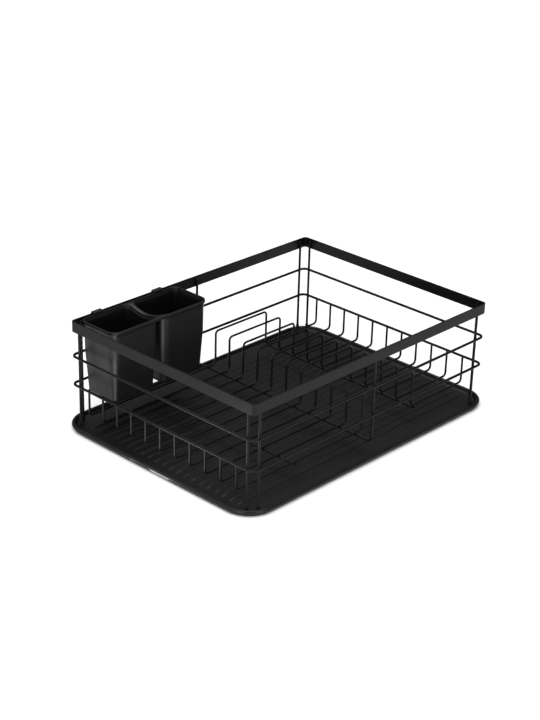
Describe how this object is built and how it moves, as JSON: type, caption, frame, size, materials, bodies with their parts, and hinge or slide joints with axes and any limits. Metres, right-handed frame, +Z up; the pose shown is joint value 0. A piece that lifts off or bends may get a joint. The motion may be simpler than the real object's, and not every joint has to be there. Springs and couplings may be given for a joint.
{
  "type": "dish drying rack",
  "caption": "Wire dish drying rack with a flat steel rim, a row of plate hoops, capped legs, a lift-out cutlery caddy and a shallow ribbed drip tray.",
  "frame": {"origin": "centre of the drip tray's underside, on the worktop", "axes": "+X along the rack's long side, towards the plate hoops and away from the cutlery caddy; +Y towards the back, where the caddy hooks on; +Z up"},
  "size_m": [0.448, 0.332, 0.1447],
  "materials": {
    "coated_steel": "black powder coat, satin",
    "tray_plastic": "black moulded plastic, satin",
    "caddy_plastic": "black moulded plastic, satin with a soft sheen",
    "cap_rubber": "black matt rubber"
  },
  "bodies": {
    "tray": {"drip_tray": "tray_plastic"},
    "rack": {"rim_band": "coated_steel", "upper_loop_wire": "coated_steel", "lower_loop_wire": "coated_steel", "floor_wire_01": "coated_steel", "floor_wire_02": "coated_steel", "floor_wire_03": "coated_steel", "floor_wire_04": "coated_steel", "floor_wire_05": "coated_steel", "floor_wire_06": "coated_steel", "floor_wire_07": "coated_steel", "floor_wire_08": "coated_steel", "floor_wire_09": "coated_steel", "floor_wire_10": "coated_steel", "floor_wire_11": "coated_steel", "middle_upright_front": "coated_steel", "middle_upright_back": "coated_steel", "cross_wire_middle": "coated_steel", "cross_wire_left": "coated_steel", "cross_wire_right": "coated_steel", "leg_end_front_left": "coated_steel", "leg_end_front_right": "coated_steel", "leg_end_back_left": "coated_steel", "leg_end_back_right": "coated_steel", "leg_side_front_left": "coated_steel", "leg_side_front_right": "coated_steel", "leg_side_back_left": "coated_steel", "leg_side_back_right": "coated_steel", "foot_cap_end_front_left": "cap_rubber", "foot_cap_end_front_right": "cap_rubber", "foot_cap_end_back_left": "cap_rubber", "foot_cap_end_back_right": "cap_rubber", "foot_cap_side_front_left": "cap_rubber", "foot_cap_side_front_right": "cap_rubber", "foot_cap_side_back_left": "cap_rubber", "foot_cap_side_back_right": "cap_rubber"},
    "caddy": {"cutlery_caddy": "caddy_plastic"}
  },
  "joints": [
    {"name": "rack_lift", "type": "slide", "parent": "tray", "child": "rack", "axis": [0, 0, 1], "range_m": [0, 0.06]},
    {"name": "caddy_lift", "type": "slide", "parent": "rack", "child": "caddy", "axis": [0, 0, 1], "range_m": [0, 0.12]}
  ]
}
